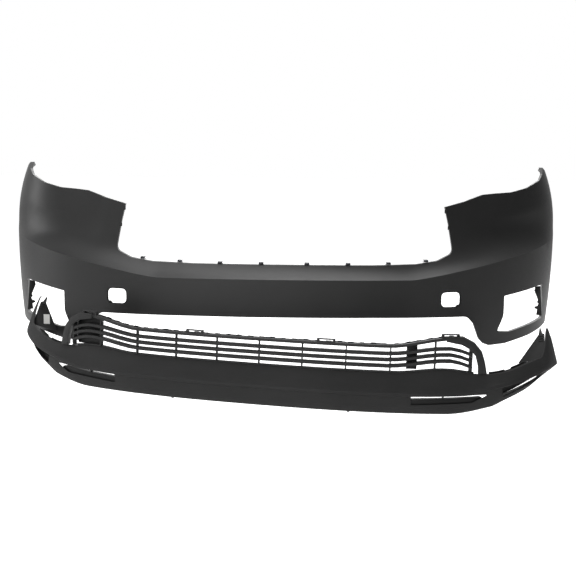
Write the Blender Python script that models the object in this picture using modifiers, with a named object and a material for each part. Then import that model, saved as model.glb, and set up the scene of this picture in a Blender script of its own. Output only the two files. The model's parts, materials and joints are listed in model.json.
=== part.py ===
"""Front bumper cover kit of a large family car: a primed upper cover and a textured lower cover.

Metres, +Z up, -Y forward, +X to the right as seen from in front of the car.
The pieces are drawn about the centreline, with y = 0 at the foremost point of the upper cover and
z = 0 just under the lower cover, then moved so that the origin is the centre of the flat back face
of the mounting pad behind the band. The lower cover and all that is fixed to it hang from the empty
"lower_frame", which holds them below and in front of their seat, as the kit is laid out.
"""

import math

import bmesh
import bpy
import numpy as np
from mathutils import Euler, Matrix, Vector

# ---------------------------------------------------------------- driving dimensions
UPPER_HALF = 0.999  # half the width of the upper cover, at the crease
UPPER_DEPTH = 0.60  # from the foremost point to where the sides run straight back
UPPER_POWER = 2.30  # superellipse power of the upper cover in plan
LOWER_HALF = 0.964
LOWER_DEPTH = 0.50
LOWER_POWER = 2.45  # the lower cover has a squarer corner
LOWER_FIT = 0.93  # the lower pieces are drawn to the upper cover's width and made this much smaller
WALL = 0.003  # moulded wall
FLANGE = 0.016  # depth of a turned-in edge
FLANGE_START = 0.001  # a flange begins this far under the outer skin

CREASE_MID = 0.420  # height of the crease on the centreline
CREASE_FLAT = 0.42  # arc length over which the crease runs level
CREASE_CLIMB = 0.185  # climb of the crease per metre of arc after that
BAND_BOTTOM = 0.296  # lower edge of the middle band
LEDGE_TOP = 0.463  # upper edge of the ledge on the centreline

RIDGE_MID = 0.115  # height of the lower cover's ridge on the centreline
RIDGE_OUT = 0.015  # the ridge stands this far in front of the plan curve
GRILLE_BOTTOM = 0.180
GRILLE_TOP = 0.263
RAIL_TOP = 0.273
GRILLE_HALF = 0.640  # half width of the bars
RIB_PITCH = 0.143
ARCH_CENTRE = (0.93, 0.33)  # wheel arch in side view, y and z
ARCH_RADIUS = 0.42

# how the lower cover lies relative to its seat
LAY_SHIFT = Vector((-0.0777, -0.2746, 0.0195))
LAY_YAW = math.radians(-10.4)
LAY_ROLL = math.radians(1.4)

PAD_BACK = 0.030  # flat back face of the mounting pad
PAD_HEIGHT = 0.360
CLIP_SPOTS = ((0.077, 0.4644), (0.217, 0.4644), (0.357, 0.4664), (0.490, 0.4740))  # x, z on the ledge
LOOP_X = (0.220, 0.618)  # snap loops on the grille's top rail
BAR_HEIGHTS = (0.2045, 0.2245, 0.2445)
BAR_HALF = 0.0055  # half a bar's height
STAYS = {1: ("grille_stay_right", (0.483, 0.517)), -1: ("grille_stay_left", (0.580, 0.684))}  # x from, to
CLIP_HOLE_X = 0.300
FIN_CORNERS = ((0.922, 0.315, 0.214), (0.848, 0.342, 0.190), (0.917, 0.383, 0.288))  # foot ends and tip

GAP = 0.0004  # running gap between pieces that rest on each other


# ---------------------------------------------------------------- scene and materials
def clear_scene():
    for obj in list(bpy.data.objects):
        bpy.data.objects.remove(obj, do_unlink=True)


def new_collection(name):
    collection = bpy.data.collections.new(name)
    bpy.context.scene.collection.children.link(collection)
    return collection


def make_material(name, colour, roughness, metallic=0.0):
    material = bpy.data.materials.new(name)
    material.use_nodes = True
    shader = material.node_tree.nodes["Principled BSDF"]
    shader.inputs["Base Color"].default_value = (*colour, 1.0)
    shader.inputs["Roughness"].default_value = roughness
    shader.inputs["Metallic"].default_value = metallic
    return material


clear_scene()
KIT = new_collection("bumper_cover_kit")
CUTTERS = new_collection("cutters")
PRIMED = make_material("primed_plastic", (0.045, 0.045, 0.046), 0.42)
GRAINED = make_material("grained_plastic", (0.040, 0.040, 0.041), 0.55)
BLACK = make_material("black_plastic", (0.018, 0.018, 0.018), 0.5)
STEEL = make_material("spring_steel", (0.10, 0.10, 0.11), 0.35, 1.0)
PAPER = make_material("label_paper", (0.72, 0.72, 0.70), 0.7)


# ---------------------------------------------------------------- plan curve
class Plan:
    """One side of a superellipse, run straight back at its end, read by arc length."""

    def __init__(self, half_width, depth, power, tail=0.12, samples=1200):
        angle = np.linspace(0.0, math.pi / 2, samples)
        x = half_width * np.sin(angle) ** (2 / power)
        y = depth * (1 - np.cos(angle) ** (2 / power))
        self.x = np.append(x, half_width)
        self.y = np.append(y, depth + tail)
        steps = np.hypot(np.diff(self.x), np.diff(self.y))
        self.arc = np.concatenate([[0.0], np.cumsum(steps)])

    def point(self, s, inset=0.0):
        """(x, y) at signed arc length s, moved inward by inset along the normal."""
        side = -1.0 if s < 0 else 1.0
        a = abs(s)
        span = 0.02
        x0 = np.interp(a, self.arc, self.x)
        y0 = np.interp(a, self.arc, self.y)
        low = max(a - span, 0.0)
        tx = np.interp(a + span, self.arc, self.x) - np.interp(low, self.arc, self.x)
        ty = np.interp(a + span, self.arc, self.y) - np.interp(low, self.arc, self.y)
        if a < span:
            ty *= a / span
        length = math.hypot(tx, ty)
        x = x0 - inset * ty / length
        y = y0 + inset * tx / length
        return side * x, y

    def arc_at_x(self, x):
        return float(np.interp(abs(x), self.x, self.arc))

    def arc_at_y(self, y):
        return float(np.interp(y, self.y, self.arc))


UPPER_PLAN = Plan(UPPER_HALF, UPPER_DEPTH, UPPER_POWER)
LOWER_PLAN = Plan(LOWER_HALF, LOWER_DEPTH, LOWER_POWER)


def smooth(value, low, high):
    """0 below low, 1 above high, with an S between."""
    t = min(max((value - low) / (high - low), 0.0), 1.0)
    return t * t * (3 - 2 * t)


def blend(a, b, share):
    return a + (b - a) * share


# ---------------------------------------------------------------- surfaces
def crease_height(s):
    beyond = max(abs(s) - CREASE_FLAT, 0.0)
    return CREASE_MID + CREASE_CLIMB * beyond * beyond / (beyond + 0.04)


def upper_inset(s, z):
    """How far the upper cover's skin lies inside the plan curve at height z."""
    above = z - crease_height(s)
    to_side = smooth(abs(s), 0.70, 1.15)
    if above <= 0:
        below = -above
        return blend(0.06, 0.16, to_side) * below * below + blend(0.012, 0.0, to_side) * below
    step = blend(0.060, 0.002, to_side)
    slope = blend(0.33, 0.015, to_side)
    hollow = 0.009 * smooth(abs(s), 0.62, 0.85) * (1 - smooth(abs(s), 0.95, 1.15))
    crown = to_side * 1.0 * max(z - 0.60, 0.0) ** 2
    return (
        step * (1 - math.exp(-above / 0.035))
        + slope * above
        + hollow * math.sin(math.pi * min(above / 0.13, 1.0))
        + crown
    )


def upper_point(s, z, depth=0.0):
    x, y = UPPER_PLAN.point(s, upper_inset(s, z) + depth)
    return (x, y, z)


def hump(s):
    """The sill of the grille rises a little just inside the grille's ends."""
    return smooth(abs(s), 0.45, 0.60) * (1 - smooth(abs(s), 0.62, 0.73))


def lower_section(s):
    """The lower cover's section at arc length s, from the top edge down: (inset, z) pairs."""
    out = smooth(abs(s), 0.62, 0.86)
    far = smooth(abs(s), 0.82, 1.04)
    horn = smooth(abs(s), LOWER_PLAN.arc_at_y(0.285), LOWER_PLAN.arc_at_y(0.39))
    top = GRILLE_BOTTOM + 0.012 * hump(s) + 0.040 * smooth(abs(s), 0.765, 1.00) + 0.086 * horn
    ridge = blend(RIDGE_MID, 0.150, out) + 0.036 * far
    bottom = blend(0.052, 0.082, out) + 0.073 * min(max((abs(s) - 0.785) / 0.27, 0.0), 1.0)
    top_inset = blend(0.026, 0.004, out) + 0.020 * horn
    lip = blend(0.014, 0.005, smooth(abs(s), LOWER_PLAN.arc_at_y(0.22), LOWER_PLAN.arc_at_y(0.28)))
    rise = top - ridge
    bulge = 0.005 * far * (1 - 0.4 * horn)
    hollow = 0.006 * (1 - out)
    tuck = 0.012 * far
    return [
        (top_inset + lip, top),
        (top_inset, top),
        (blend(top_inset, -RIDGE_OUT, 0.30) + hollow - bulge, top - 0.30 * rise),
        (blend(top_inset, -RIDGE_OUT, 0.62) + hollow - bulge, top - 0.64 * rise),
        (-RIDGE_OUT + 0.002 - 0.3 * bulge, ridge + 0.008),
        (-RIDGE_OUT, ridge),
        (-RIDGE_OUT + 0.007, ridge - 0.007),
        (-RIDGE_OUT + 0.010 + 0.5 * tuck, blend(ridge, bottom, 0.55)),
        (-RIDGE_OUT + 0.018 + tuck, bottom + 0.006),
        (-RIDGE_OUT + 0.024 + tuck, bottom),
        (-RIDGE_OUT + 0.064 + tuck - 0.028 * far, bottom + 0.002),
    ]


def lower_point(s, inset, z):
    x, y = LOWER_PLAN.point(s, inset)
    return (x, y, z)


# ---------------------------------------------------------------- mesh helpers
def link(obj, collection=KIT):
    collection.objects.link(obj)
    return obj


def mesh_object(name, mesh, material=None, collection=KIT):
    obj = bpy.data.objects.new(name, mesh)
    if material:
        mesh.materials.clear()
        mesh.materials.append(material)
    return link(obj, collection)


def loft(name, rows, collection=KIT, material=None, closed=False):
    """Joins rows of points, each row a section, into a sheet of quads (or a capped tube if closed)."""
    bm = bmesh.new()
    grid = [[bm.verts.new(p) for p in row] for row in rows]
    count = len(rows[0])
    for upper, lower in zip(grid, grid[1:]):
        for i in range(count if closed else count - 1):
            j = (i + 1) % count
            bm.faces.new((upper[i], upper[j], lower[j], lower[i]))
    if closed:
        bm.faces.new(grid[0][::-1])
        bm.faces.new(grid[-1])
        bmesh.ops.recalc_face_normals(bm, faces=bm.faces)
    mesh = bpy.data.meshes.new(name)
    bm.to_mesh(mesh)
    bm.free()
    return mesh_object(name, mesh, material, collection)


def thicken(obj, thickness):
    """Grows a sheet inward, away from its normals, and applies it."""
    modifier = obj.modifiers.new("wall", "SOLIDIFY")
    modifier.thickness = thickness
    modifier.offset = -1.0
    modifier.use_even_offset = False
    return apply_modifiers(obj)


def apply_modifiers(obj):
    bpy.context.view_layer.update()
    graph = bpy.context.evaluated_depsgraph_get()
    mesh = bpy.data.meshes.new_from_object(obj.evaluated_get(graph))
    obj.modifiers.clear()
    obj.data = mesh
    return obj


def as_cutter(obj):
    obj.hide_render = True
    obj.display_type = "WIRE"
    return obj


def triangulate(obj):
    """Flat faces only, so that the Boolean has no bent ones to cut."""
    bm = bmesh.new()
    bm.from_mesh(obj.data)
    bmesh.ops.triangulate(bm, faces=bm.faces)
    bm.to_mesh(obj.data)
    bm.free()


def boolean(obj, other, operation):
    triangulate(obj)
    triangulate(other)
    modifier = obj.modifiers.new(operation.lower(), "BOOLEAN")
    modifier.operation = operation
    modifier.object = other
    modifier.solver = "EXACT"
    apply_modifiers(obj)
    bpy.data.objects.remove(other, do_unlink=True)
    return obj


def outline_solid(name, points, thickness, matrix, material=None, collection=KIT):
    """A flat outline, given in its own plane, as a plate of that thickness centred on the plane."""
    curve = bpy.data.curves.new(name, "CURVE")
    curve.dimensions = "2D"
    curve.fill_mode = "BOTH"
    curve.extrude = thickness / 2
    spline = curve.splines.new("POLY")
    spline.points.add(len(points) - 1)
    for target, (u, v) in zip(spline.points, points):
        target.co = (u, v, 0.0, 1.0)
    spline.use_cyclic_u = True
    flat = link(bpy.data.objects.new(name + "_curve", curve), CUTTERS)
    bpy.context.view_layer.update()
    graph = bpy.context.evaluated_depsgraph_get()
    mesh = bpy.data.meshes.new_from_object(flat.evaluated_get(graph))
    bpy.data.objects.remove(flat, do_unlink=True)
    bm = bmesh.new()
    bm.from_mesh(mesh)
    bmesh.ops.remove_doubles(bm, verts=bm.verts, dist=1e-5)
    bmesh.ops.recalc_face_normals(bm, faces=bm.faces)
    bm.transform(matrix)
    bm.to_mesh(mesh)
    bm.free()
    return mesh_object(name, mesh, material, collection)


# an outline's own x and y become: front view x and z; side view y and z
FRONT_VIEW = Matrix(((1, 0, 0, 0), (0, 0, -1, 0), (0, 1, 0, 0), (0, 0, 0, 1)))
SIDE_VIEW = Matrix(((0, 0, 1, 0), (1, 0, 0, 0), (0, 1, 0, 0), (0, 0, 0, 1)))


def front_prism(name, points, y_from=-0.2, y_to=0.9):
    place = Matrix.Translation((0, (y_from + y_to) / 2, 0)) @ FRONT_VIEW
    return as_cutter(outline_solid(name, points, y_to - y_from, place, None, CUTTERS))


def side_prism(name, points, half_width=1.2):
    return as_cutter(outline_solid(name, points, 2 * half_width, SIDE_VIEW, None, CUTTERS))


def rounded(points, radius, steps=5):
    """The closed outline with each corner replaced by an arc; radius may be one for each corner."""
    radii = radius if isinstance(radius, (list, tuple)) else [radius] * len(points)
    result = []
    for i, corner in enumerate(points):
        here = Vector(corner)
        before = Vector(points[i - 1]) - here
        after = Vector(points[(i + 1) % len(points)]) - here
        half = before.angle(after) / 2
        if radii[i] <= 0 or abs(half - math.pi / 2) < 0.02:
            result.append(tuple(here))
            continue
        cut = min(radii[i] / math.tan(half), 0.45 * before.length, 0.45 * after.length)
        start = here + before.normalized() * cut
        end = here + after.normalized() * cut
        for k in range(steps + 1):
            t = k / steps
            result.append(tuple((1 - t) ** 2 * start + 2 * t * (1 - t) * here + t * t * end))
    return result


def mirrored(points):
    return [(-x, z) for x, z in reversed(points)]


def grown(points, amount):
    """A closed outline moved outward by amount."""
    area = sum(a[0] * b[1] - b[0] * a[1] for a, b in zip(points, points[1:] + points[:1]))
    turn = 1.0 if area > 0 else -1.0
    result = []
    for i, corner in enumerate(points):
        a = (Vector(corner) - Vector(points[i - 1])).normalized()
        b = (Vector(points[(i + 1) % len(points)]) - Vector(corner)).normalized()
        normal = Vector((a.y + b.y, -a.x - b.x)) * turn
        normal.normalize()
        cosine = max(normal.dot(Vector((b.y, -b.x)) * turn), 0.5)
        result.append(tuple(Vector(corner) + normal * amount / cosine))
    return result


def shade(obj, angle=30):
    obj.data.shade_smooth()
    obj.data.set_sharp_from_angle(angle=math.radians(angle))
    return obj


# ---------------------------------------------------------------- outlines of the upper cover
def top_opening():
    """All that is cut away above the ledge and between the two ears."""
    ledge = [(0.30, LEDGE_TOP + 0.001), (0.44, LEDGE_TOP + 0.004), (0.515, 0.478), (0.570, 0.503)]
    ear_inside = [(0.566, 0.540), (0.558, 0.60), (0.547, 0.655)]
    ear_top = [(0.62, 0.674), (0.685, 0.697), (0.735, 0.702), (0.79, 0.706), (0.85, 0.721), (0.905, 0.748)]
    tip = [(0.922, 0.770), (0.928, 0.793), (0.960, 0.772), (1.2, 0.735), (1.2, 0.95)]
    right = ledge + ear_inside + ear_top + tip
    radii = [0, 0.05, 0.05, 0.025] + [0] * (len(right) - 4)
    return rounded(right + mirrored(right), radii + radii[::-1], 3)


def lower_opening():
    """The air opening under the band, open at the bottom between the two legs."""
    right = [(0.688, 0.05), (0.688, 0.187), (0.662, 0.213), (0.640, 0.268), (0.616, BAND_BOTTOM - 0.003),
             (0.30, BAND_BOTTOM)]
    radii = [0, 0.03, 0.02, 0.02, 0.03, 0]
    return rounded(right + mirrored(right), radii + radii[::-1], 3)


def under_rail():
    """What is cut away under the right fog lamp rail."""
    return [(0.66, 0.05), (0.672, 0.200), (0.700, 0.189), (0.76, 0.190), (0.863, 0.207), (0.943, 0.226),
            (1.05, 0.250), (1.05, 0.05)]


def fog_opening():
    points = [(0.754, 0.356), (0.754, 0.287), (0.730, 0.234), (0.775, 0.229), (0.930, 0.256), (0.920, 0.381)]
    return rounded(points, [0.004, 0.06, 0.008, 0.02, 0.012, 0.006], 4)


def tow_opening():
    width, height = 0.070, 0.056
    x, z = 0.557 - width / 2, 0.352 - height / 2
    corners = [(x, z), (x + width, z), (x + width, z + height), (x, z + height)]
    return rounded(corners, 0.017, 4)


def rear_edge():
    """What is cut away behind the fender line and the wheel arch, in side view."""
    arc = []
    for k in range(9):
        angle = math.radians(205 - 50 * k / 8)
        y = ARCH_CENTRE[0] + ARCH_RADIUS * math.cos(angle)
        z = ARCH_CENTRE[1] + ARCH_RADIUS * math.sin(angle)
        arc.append((y, z))
    low_y = arc[0][0]
    ear_back = [(0.600, 0.700), (0.598, 0.757), (0.520, 0.802)]
    return [(1.2, 0.0), (low_y, 0.0), *arc, *ear_back, (0.520, 1.0), (1.2, 1.0)]


# ---------------------------------------------------------------- the upper cover
def upper_sheet(name, depth, top_margin=0.0):
    columns = np.linspace(-1.31, 1.31, 61)
    low, high = 0.165, 0.83
    rows = []
    below = [0.0, 0.25, 0.5, 0.75, 0.94]
    above = [0.0, 0.03, 0.07, 0.13, 0.22, 0.36, 0.55, 0.78, 1.0]
    for share in below:
        rows.append([upper_point(s, blend(low, crease_height(s), share), depth) for s in columns])
    for share in above:
        rows.append([upper_point(s, blend(crease_height(s), high, share), depth) for s in columns])
    return loft(name, rows, CUTTERS)


def upper_cover():
    cover = thicken(upper_sheet("upper_cover", 0.0), WALL)
    openings = [top_opening(), lower_opening(), fog_opening(), mirrored(fog_opening()),
                tow_opening(), mirrored(tow_opening()), under_rail(), mirrored(under_rail())]
    for outline in openings:
        plug = thicken(upper_sheet("plug", FLANGE_START), FLANGE)
        boolean(plug, front_prism("flange_zone", grown(outline, WALL)), "INTERSECT")
        boolean(cover, plug, "UNION")
    for outline in openings:
        boolean(cover, front_prism("opening", outline), "DIFFERENCE")
    boolean(cover, side_prism("rear", rear_edge()), "DIFFERENCE")
    CUTTERS.objects.unlink(cover)
    link(cover)
    cover.data.materials.clear()
    cover.data.materials.append(PRIMED)
    return shade(cover)



# ---------------------------------------------------------------- small solids
def solid_box(name, size, centre, material, rotation=(0.0, 0.0, 0.0), bevel=0.0):
    """A box with applied size, its bevelled edges applied too."""
    bm = bmesh.new()
    bmesh.ops.create_cube(bm, size=1.0)
    bmesh.ops.scale(bm, vec=size, verts=bm.verts)
    mesh = bpy.data.meshes.new(name)
    bm.to_mesh(mesh)
    bm.free()
    obj = mesh_object(name, mesh, material)
    if bevel:
        modifier = obj.modifiers.new("edges", "BEVEL")
        modifier.width = bevel
        modifier.segments = 1
        apply_modifiers(obj)
    obj.data.transform(Matrix.Translation(centre) @ Euler(rotation).to_matrix().to_4x4())
    return obj


def turned(name, profile, centre, material, steps=24):
    """A profile of (radius, z) points, axis to axis or back to its start, screwed round the vertical."""
    ring = profile[0] == profile[-1]
    points = profile[:-1] if ring else profile
    edges = [(i, i + 1) for i in range(len(points) - 1)]
    if ring:
        edges.append((len(points) - 1, 0))
    mesh = bpy.data.meshes.new(name)
    mesh.from_pydata([(radius, 0.0, z) for radius, z in points], edges, [])
    obj = mesh_object(name, mesh, material)
    screw = obj.modifiers.new("turn", "SCREW")
    screw.axis = "Z"
    screw.steps = steps
    screw.render_steps = steps
    screw.use_merge_vertices = True
    screw.merge_threshold = 1e-6
    apply_modifiers(obj)
    bm = bmesh.new()
    bm.from_mesh(obj.data)
    bmesh.ops.remove_doubles(bm, verts=bm.verts, dist=1e-6)
    bmesh.ops.recalc_face_normals(bm, faces=bm.faces)
    bm.transform(Matrix.Translation(centre))
    bm.to_mesh(obj.data)
    bm.free()
    return shade(obj, 40)


def swept(name, plan, stations, section, material, drop=None):
    """A closed section of (inset, z) points, or a function of s giving one, swept along the plan curve."""
    rows = []
    for s in stations:
        lower = drop(s) if drop else 0.0
        outline = section(s) if callable(section) else section
        rows.append([(*plan.point(s, inset), z - lower) for inset, z in outline])
    return loft(name, rows, KIT, material, closed=True)


def bar_section(inset, depth, low, high, nose=0.003):
    """A bar's section with a blunt nose toward the front."""
    return [(inset, low + nose), (inset, high - nose), (inset + nose, high), (inset + depth, high),
            (inset + depth, low), (inset + nose, low)]


def along(first, last, count):
    return [float(v) for v in np.linspace(first, last, count)]


# ---------------------------------------------------------------- pieces fixed to the upper cover
def add_mounting_pad(cover):
    """A block moulded behind the middle of the band, with a flat back face."""
    x, z = 0.045, 0.025
    plug = solid_box("pad", (2 * x, PAD_BACK - 0.002, 2 * z), (0, PAD_BACK / 2 + 0.001, PAD_HEIGHT), PRIMED)
    return boolean(cover, plug, "UNION")


def edge_clips():
    """Spring clips pushed onto the upper edge of the ledge, for the grille."""
    clips = []
    for side in (-1, 1):
        for number, (x, top) in enumerate(CLIP_SPOTS, start=1):
            s = UPPER_PLAN.arc_at_x(x)
            inset = upper_inset(s, top)
            px, py = UPPER_PLAN.point(s, inset)
            ahead = UPPER_PLAN.point(s + 0.01, inset)
            turn = math.atan2(ahead[1] - py, ahead[0] - px)
            name = f"edge_clip_{'left' if side < 0 else 'right'}_{number}"
            clips.append(edge_clip(name, Vector((side * px, py, top)), side * turn))
    return clips


def edge_clip(name, foot, turn):
    """A hook-shaped strip standing on the edge: its outline in side view, as wide as the clip."""
    t = 0.0012
    foot_strip = [(-0.002, 0.0), (0.013, 0.0), (0.013, t), (-0.002 + t, t), (-0.002 + t, 0.0045)]
    hook = [(0.003, 0.0065), (0.0125, 0.0065), (0.0125, 0.0065 + t), (0.0025, 0.0065 + t), (-0.002, 0.0052)]
    outline = foot_strip + hook
    obj = outline_solid(name, outline, 0.016, SIDE_VIEW, STEEL)
    place = Matrix.Translation(foot + Vector((0, 0, GAP))) @ Matrix.Rotation(turn, 4, "Z")
    obj.data.transform(place)
    return shade(obj)


def fog_bracket(side):
    """The toothed flange behind the outer edge of the fog lamp opening."""
    teeth = [(0.0, 0.0), (0.020, 0.002), (0.016, 0.022), (0.026, 0.026), (0.023, 0.032), (0.013, 0.036),
             (0.010, 0.044), (0.015, 0.048), (0.011, 0.056), (0.018, 0.078), (0.022, 0.090), (0.018, 0.104),
             (0.0, 0.108)]
    inward = Vector((-0.93, 0.37, 0)).normalized()
    foot = Vector((0.9265, 0.345, 0.264))
    lean = Vector((-0.085, 0.03, 1.0)).normalized()
    normal = inward.cross(lean).normalized()
    place = Matrix((
        (inward.x, lean.x, normal.x, foot.x),
        (inward.y, lean.y, normal.y, foot.y),
        (inward.z, lean.z, normal.z, foot.z),
        (0, 0, 0, 1),
    ))
    name = "fog_bracket_right" if side > 0 else "fog_bracket_left"
    return mirror_if_left(outline_solid(name, teeth, 0.0024, place, BLACK), side)


def mirror_if_left(obj, side):
    if side < 0:
        obj.data.transform(Matrix.Diagonal((-1, 1, 1, 1)))
        obj.data.flip_normals()
    return obj


# ---------------------------------------------------------------- the lower cover
def inner_slot():
    points = [(0.498, 0.112), (0.498, 0.083), (0.690, 0.092), (0.745, 0.119)]
    return rounded(points, [0.003, 0.003, 0.010, 0.004], 2)


def outer_slot():
    points = [(0.784, 0.138), (0.790, 0.106), (0.898, 0.148), (0.928, 0.177)]
    return rounded(points, [0.003, 0.003, 0.008, 0.004], 2)


def lower_sheet(name, offset=0.0):
    end = LOWER_PLAN.arc_at_y(0.40)
    columns = along(-end, end, 57)
    rows = []
    for s in columns:
        rows.append([lower_point(s, inset + offset, z) for inset, z in lower_section(s)])
    across = [list(row) for row in zip(*rows)]
    return loft(name, across[::-1], CUTTERS)


def lower_cover():
    cover = thicken(lower_sheet("lower_cover"), WALL)
    for outline in (inner_slot(), mirrored(inner_slot()), outer_slot(), mirrored(outer_slot())):
        boolean(cover, front_prism("opening", outline, -0.2, 0.335), "DIFFERENCE")
    for side in (-1, 1):
        x, y, z = clip_seat(side)
        hole = turned("hole", [(0, -0.02), (0.0045, -0.02), (0.0045, 0.02), (0, 0.02)], (x, y, z), None)
        boolean(cover, hole, "DIFFERENCE")
    CUTTERS.objects.unlink(cover)
    link(cover)
    cover.data.materials.clear()
    cover.data.materials.append(GRAINED)
    return shade(cover)


def clip_seat(side):
    """Centre of the lip's underside where a push clip is fitted."""
    s = LOWER_PLAN.arc_at_x(CLIP_HOLE_X)
    section = lower_section(s)
    x, y = LOWER_PLAN.point(s, (section[-1][0] + section[-2][0]) / 2 + 0.004)
    return side * x, y, (section[-1][1] + section[-2][1]) / 2


def duct_insert(side):
    """A black channel behind the lower part of the inner slot, with a rib across the gap above it."""
    first = LOWER_PLAN.arc_at_x(0.492)
    last = LOWER_PLAN.arc_at_x(0.722)
    stations = along(first, last, 9)
    back = -RIDGE_OUT + 0.017

    def climb(s):
        return -0.008 * (s - first) / (last - first)

    name = "duct_insert_right" if side > 0 else "duct_insert_left"
    wall = [(back, 0.0775), (back, 0.1005), (back + 0.020, 0.1005), (back + 0.020, 0.0975)]
    floor = [(back + 0.003, 0.0975), (back + 0.003, 0.0805), (back + 0.022, 0.0805), (back + 0.022, 0.0775)]
    tray = swept(name, LOWER_PLAN, stations, wall + floor, BLACK, climb)
    x, y = LOWER_PLAN.point(LOWER_PLAN.arc_at_x(0.60), back + 0.006)
    rib = solid_box("rib", (0.003, 0.010, 0.026), (x, y, 0.1115), BLACK, (0, 0, 0.45))
    boolean(tray, rib, "UNION")
    return shade(mirror_if_left(tray, side))


def corner_duct(side):
    """A black closed panel behind the outer slot."""
    first = LOWER_PLAN.arc_at_x(0.768)
    last = LOWER_PLAN.arc_at_x(0.932)
    name = "corner_duct_right" if side > 0 else "corner_duct_left"

    def section(s):
        skin = lower_section(s)
        low = skin[9][1] + 0.012
        high = skin[5][1] - 0.006
        return [(0.034, low), (0.017, low + 0.012), (0.017, high), (0.020, high), (0.020, low + 0.013),
                (0.037, low)]

    return shade(mirror_if_left(swept(name, LOWER_PLAN, along(first, last, 9), section, BLACK), side))


def fin_place():
    """The right fin's own plane: u runs inward along its foot, v up it, and its face looks along -w."""
    outer, inner, tip = (Vector(corner) for corner in FIN_CORNERS)
    foot = (inner - outer).normalized()
    back = foot.cross(tip - outer).normalized()
    place = Matrix((foot, back.cross(foot), back)).transposed().to_4x4()
    place.translation = outer
    return place


def wing_bracket(side):
    """The three-cornered fin inside the lower cover's raised end, with its tongue."""
    foot = [(0.0, 0.0), (0.093, 0.0), (0.022, 0.100)]
    tongue = [(0.019, 0.126), (0.015, 0.126), (0.009, 0.104), (0.001, 0.098)]
    name = "wing_bracket_right" if side > 0 else "wing_bracket_left"
    fin = outline_solid(name, foot + tongue, WALL, fin_place(), BLACK)
    for number in range(3):
        rib = solid_box("rib", (0.016, 0.003, 0.004), (0.013, 0.072 + 0.010 * number, -0.0030), BLACK)
        rib.data.transform(fin_place())
        boolean(fin, rib, "UNION")
    return mirror_if_left(fin, side)


def part_label():
    """A blank paper label on the left fin."""
    thickness = 0.0003
    sink = -(WALL / 2 + GAP + thickness / 2)
    place = fin_place() @ Matrix.Translation((0.042, 0.035, sink)) @ Matrix.Rotation(0.30, 4, "Z")
    w, h = 0.011, 0.020
    label = outline_solid("part_label", [(-w, -h), (w, -h), (w, h), (-w, h)], thickness, place, PAPER)
    return mirror_if_left(label, -1)


# ---------------------------------------------------------------- the lower grille
def rail_drop(s):
    """The grille's rail rises toward its ends."""
    return -0.029 * smooth(abs(s), 0.42, 0.63)


def bar_drop(s):
    """The bars rise with the rail and hook down at their very ends."""
    return -0.020 * smooth(abs(s), 0.42, 0.61) + 0.020 * smooth(abs(s), 0.635, 0.71)


def sill_drop(s):
    return -0.012 * hump(s)


def grille_frame_outline():
    """The arch at the right end of the grille in front view."""
    top = RAIL_TOP + 0.0305
    foot = GRILLE_BOTTOM + 0.0035
    crown = [(0.600, top), (0.650, top + 0.001), (0.688, 0.284)]
    outer = [(0.713, 0.254), (0.726, 0.216), (0.733, foot)]
    inner = [(0.704, foot), (0.702, 0.212), (0.693, 0.244), (0.676, 0.264), (0.650, 0.279)]
    return crown + outer + inner + [(0.600, top - 0.014)]


def lower_grille():
    half = LOWER_PLAN.arc_at_x(GRILLE_HALF)
    grille = swept("lower_grille", LOWER_PLAN, along(-half, half, 33),
                   bar_section(0.010, 0.020, GRILLE_TOP + 0.0005, RAIL_TOP, 0.002), BLACK, rail_drop)
    for x in LOOP_X:
        for side in (-1, 1):
            boolean(grille, mirror_if_left(loop_piece(LOWER_PLAN.arc_at_x(x)), side), "UNION")
    for side in (-1, 1):
        first, last = LOWER_PLAN.arc_at_x(0.590), LOWER_PLAN.arc_at_x(0.738)
        arch = swept("arch", LOWER_PLAN, along(first, last, 9), bar_section(0.006, 0.026, 0.17, 0.32), BLACK)
        boolean(arch, front_prism("arch_zone", grille_frame_outline()), "INTERSECT")
        boolean(grille, mirror_if_left(arch, side), "UNION")
    for height in BAR_HEIGHTS:
        reach = LOWER_PLAN.arc_at_x(0.687)
        bar = swept("bar", LOWER_PLAN, along(-reach, reach, 41),
                    bar_section(0.011, 0.018, height - BAR_HALF, height + BAR_HALF, 0.002), BLACK, bar_drop)
        boolean(grille, bar, "UNION")
    reach = LOWER_PLAN.arc_at_x(0.70)
    sill = swept("sill", LOWER_PLAN, along(-reach, reach, 41),
                 bar_section(0.022, 0.012, GRILLE_BOTTOM + 3 * GAP, 0.1865, 0.001), BLACK, sill_drop)
    boolean(grille, sill, "UNION")
    for side in (-1, 1):
        first, last = LOWER_PLAN.arc_at_x(0.683), LOWER_PLAN.arc_at_x(0.690)
        section = bar_section(0.0123, 0.015, 0.190, 0.286)
        post = swept("post", LOWER_PLAN, along(first, last, 3), section, BLACK)
        boolean(grille, mirror_if_left(post, side), "UNION")
    for number in range(-4, 5):
        s = math.copysign(LOWER_PLAN.arc_at_x(abs(number) * RIB_PITCH), number)
        x, y, turn = stand_on(s, 0.0220)
        low, high = 0.1835 - sill_drop(s), RAIL_TOP - 0.005 - rail_drop(s)
        rib = solid_box("rib", (0.0042, 0.0125, high - low), (x, y, (low + high) / 2), BLACK, (0, 0, turn))
        boolean(grille, rib, "UNION")
    return shade(grille)


def stand_on(s, inset):
    """Where an upright stands inside the lower plan curve, and how far it is turned to face outward."""
    x, y = LOWER_PLAN.point(s, inset)
    ahead = LOWER_PLAN.point(s + 0.01, inset)
    return x, y, math.atan2(ahead[1] - y, ahead[0] - x)


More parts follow.
